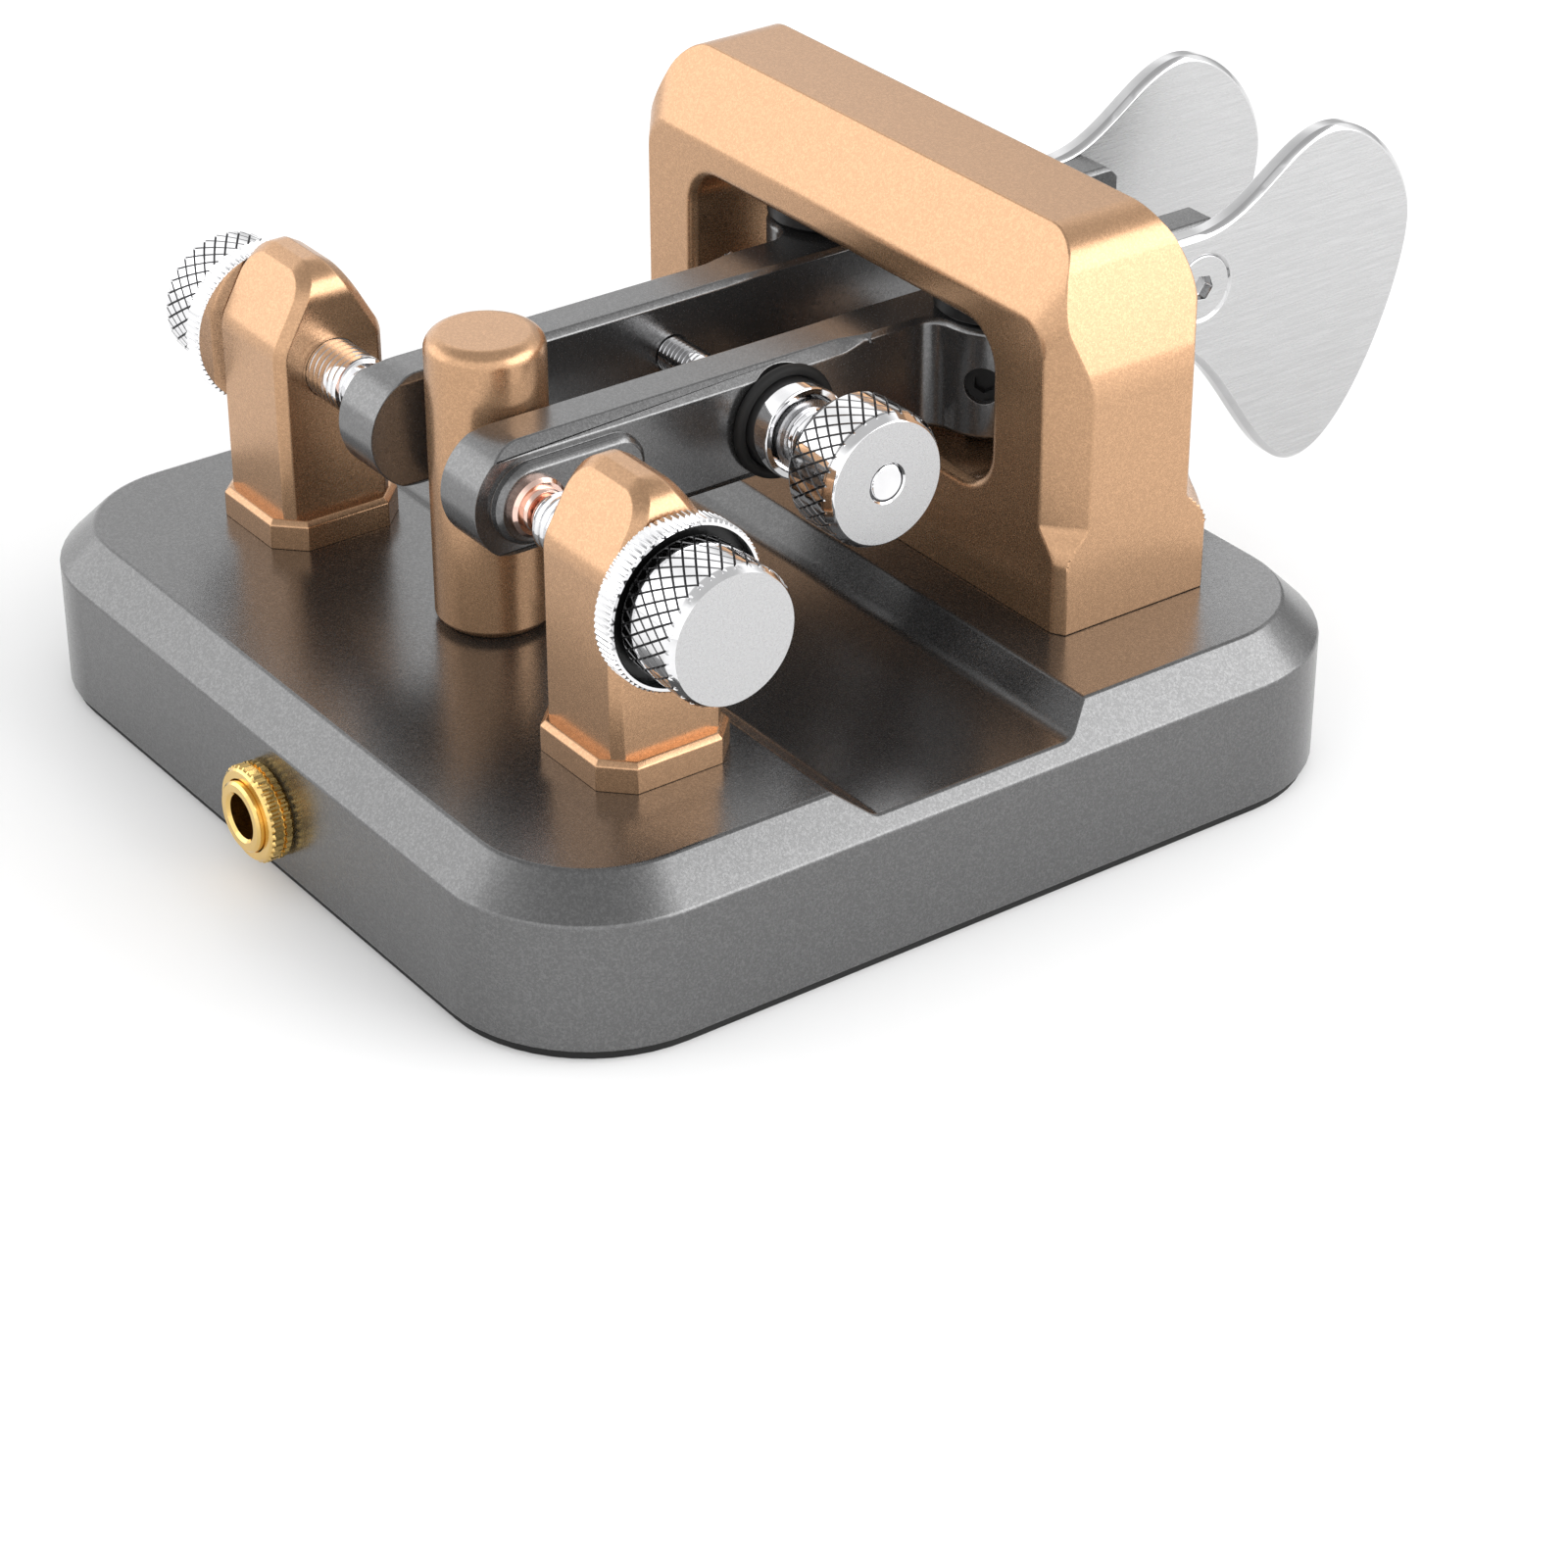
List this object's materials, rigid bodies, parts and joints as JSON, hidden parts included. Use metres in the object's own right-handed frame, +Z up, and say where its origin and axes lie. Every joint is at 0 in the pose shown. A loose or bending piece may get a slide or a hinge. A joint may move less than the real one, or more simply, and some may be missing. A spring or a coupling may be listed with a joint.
{
  "type": "twin-lever morse key",
  "caption": "Twin-lever morse key: weighted base, bridge holding two pivoting levers with finger plates, adjustable contact screws, spring tension knob and a rear socket.",
  "frame": {"origin": "centre of the base outline, on the surface the key stands on", "axes": "+Z up; -Y towards the operator and the finger plates, +Y towards the socket; X across, left lever at -X"},
  "size_m": [0.08, 0.1104, 0.0458],
  "materials": {
    "anodised_grey": "dark grey fine-blasted anodised aluminium",
    "pad_rubber": "matt black rubber sheet",
    "anodised_rose": "rose-gold fine-blasted anodised aluminium",
    "black_steel": "black oxide",
    "steel": "ground steel",
    "insulator": "natural acetal",
    "black_plastic": "black moulded plastic",
    "gold": "gold-plated brass",
    "wire_red": "red wire insulation",
    "contact_copper": "polished copper alloy",
    "plate_steel": "finely brushed faces, polished bevels",
    "chrome": "bright nickel-chrome plating",
    "ring_rubber": "satin black rubber"
  },
  "bodies": {
    "base": {"base_plate": "anodised_grey", "foot_pad": "pad_rubber", "bridge": "anodised_rose", "bridge_screws": "black_steel", "centre_post": "anodised_rose", "centre_post_screw": "black_steel", "contact_post_left": "anodised_rose", "contact_post_right": "anodised_rose", "post_screws": "steel", "post_bushes": "insulator", "jack_body": "black_plastic", "jack_nut": "gold", "jack_springs": "gold", "wires": "wire_red", "pivot_pins": "steel", "pivot_spacers": "black_plastic", "bearing_races": "steel"},
    "lever_left_body": {"lever_left": "anodised_grey", "bearings_left": "steel", "hub_screw_left": "black_steel", "contact_button_left": "contact_copper", "finger_plate_left": "plate_steel", "finger_screws_left": "chrome", "tension_bush": "black_plastic", "tension_ring": "ring_rubber", "tension_cup": "chrome", "tension_spring": "steel"},
    "lever_right_body": {"lever_right": "anodised_grey", "bearings_right": "steel", "hub_screw_right": "black_steel", "contact_button_right": "contact_copper", "finger_plate_right": "plate_steel", "finger_screws_right": "chrome"},
    "tip_left": {"contact_tip_left": "contact_copper"},
    "screw_left": {"contact_screw_left": "chrome", "contact_knob_left": "chrome"},
    "tip_right": {"contact_tip_right": "contact_copper"},
    "screw_right": {"contact_screw_right": "chrome", "contact_knob_right": "chrome"},
    "nut_left": {"lock_nut_left": "chrome"},
    "nut_right": {"lock_nut_right": "chrome"},
    "tension_seat": {"tension_washer": "chrome"},
    "tension_screw": {"tension_rod": "chrome", "tension_knob": "chrome"}
  },
  "joints": [
    {"name": "lever_left_hinge", "type": "hinge", "parent": "base", "child": "lever_left_body", "pos_m": [-0.0111, -0.0229, 0.0291], "axis": [0, 0, 1], "range_deg": [0, 0.4], "stiffness_Nm_per_rad": 0.6, "springref_deg": -1.72},
    {"name": "lever_right_hinge", "type": "hinge", "parent": "base", "child": "lever_right_body", "pos_m": [0.0111, -0.0229, 0.0291], "axis": [0, 0, -1], "range_deg": [0, 0.4], "stiffness_Nm_per_rad": 0.6, "springref_deg": -1.72},
    {"name": "contact_travel_left", "type": "slide", "parent": "base", "child": "tip_left", "axis": [-1, 0, 0], "range_m": [-0.00007, 0.00105]},
    {"name": "contact_turn_left", "type": "hinge", "parent": "tip_left", "child": "screw_left", "pos_m": [-0.033, 0.0201, 0.0291], "axis": [-1, 0, 0], "range_deg": [-38, 542]},
    {"name": "lock_nut_left_turn", "type": "hinge", "parent": "base", "child": "nut_left", "pos_m": [-0.029, 0.0201, 0.0291], "axis": [-1, 0, 0], "range_deg": [0, 60]},
    {"name": "contact_travel_right", "type": "slide", "parent": "base", "child": "tip_right", "axis": [1, 0, 0], "range_m": [-0.00007, 0.00105]},
    {"name": "contact_turn_right", "type": "hinge", "parent": "tip_right", "child": "screw_right", "pos_m": [0.033, 0.0201, 0.0291], "axis": [1, 0, 0], "range_deg": [-38, 542]},
    {"name": "lock_nut_right_turn", "type": "hinge", "parent": "base", "child": "nut_right", "pos_m": [0.029, 0.0201, 0.0291], "axis": [1, 0, 0], "range_deg": [0, 60]},
    {"name": "tension_travel", "type": "slide", "parent": "lever_right_body", "child": "tension_seat", "axis": [-1, 0, 0], "range_m": [0, 0.0025]},
    {"name": "tension_turn", "type": "hinge", "parent": "tension_seat", "child": "tension_screw", "pos_m": [-0.018, -0.003, 0.0291], "axis": [-1, 0, 0], "range_deg": [-2, 1802]}
  ],
  "couplings": [
    {"joint": "contact_turn_left", "follows": "contact_travel_left", "rad_per_m": 8976},
    {"joint": "contact_turn_right", "follows": "contact_travel_right", "rad_per_m": 8976},
    {"joint": "tension_turn", "follows": "tension_travel", "rad_per_m": 12566}
  ]
}
